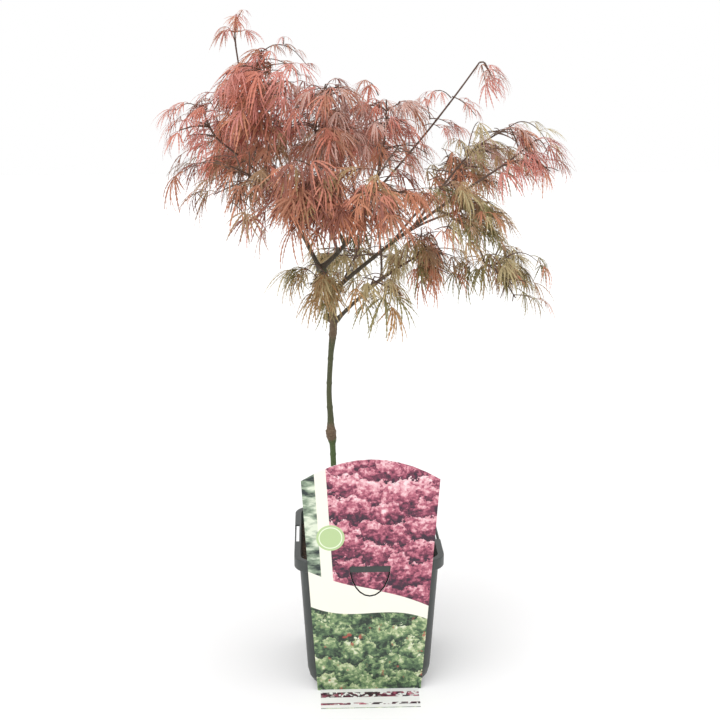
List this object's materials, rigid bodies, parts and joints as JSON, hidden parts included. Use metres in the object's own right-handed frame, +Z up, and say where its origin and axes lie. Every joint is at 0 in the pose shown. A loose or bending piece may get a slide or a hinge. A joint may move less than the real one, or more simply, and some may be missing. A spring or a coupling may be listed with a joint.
{
  "type": "potted weeping maple",
  "caption": "Small grafted maple with finely cut, drooping red and olive leaves on a short green stem, in a square plastic pot with a printed card hung on its lip.",
  "frame": {"origin": "centre of the pot's flat underside, where it meets the ground", "axes": "+Z up, +X to the right as the card is read, -Y out of the pot's side that carries the card"},
  "size_m": [0.5585, 0.4986, 0.8938],
  "materials": {
    "pot_plastic": "satin moulded polypropylene",
    "compost": "loose, matt",
    "printed_board": "printed, semi-gloss",
    "green_bark": "smooth bark",
    "dark_bark": "smooth bark",
    "foliage": "soft leaf"
  },
  "bodies": {
    "root": {"bough_centre": "dark_bark", "bough_centre_back": "dark_bark", "bough_centre_front": "dark_bark", "bough_centre_left": "dark_bark", "bough_left": "dark_bark", "bough_left_back": "dark_bark", "bough_left_low": "dark_bark", "bough_left_out": "dark_bark", "bough_low_back": "dark_bark", "bough_low_centre": "dark_bark", "bough_low_front": "dark_bark", "bough_low_left": "dark_bark", "bough_low_right": "dark_bark", "bough_right": "dark_bark", "bough_right_back": "dark_bark", "bough_right_crest": "dark_bark", "bough_right_low": "dark_bark", "bough_right_mid": "dark_bark", "card": "printed_board", "compost": "compost", "foliage_back_centre": "foliage", "foliage_back_left": "foliage", "foliage_back_right": "foliage", "foliage_crest_left": "foliage", "foliage_crest_right": "foliage", "foliage_crown_centre": "foliage", "foliage_crown_left": "foliage", "foliage_front_centre": "foliage", "foliage_front_right": "foliage", "foliage_low_back": "foliage", "foliage_low_front": "foliage", "foliage_low_left": "foliage", "foliage_low_right": "foliage", "foliage_mid_front": "foliage", "foliage_skirt_left": "foliage", "foliage_skirt_right": "foliage", "foliage_tip_left": "foliage", "foliage_tip_right": "foliage", "foliage_tuft_shoot": "foliage", "foliage_tuft_top": "foliage", "pot": "pot_plastic", "shoot_long": "dark_bark", "shoot_top": "dark_bark", "trunk": "green_bark"}
  },
  "joints": []
}
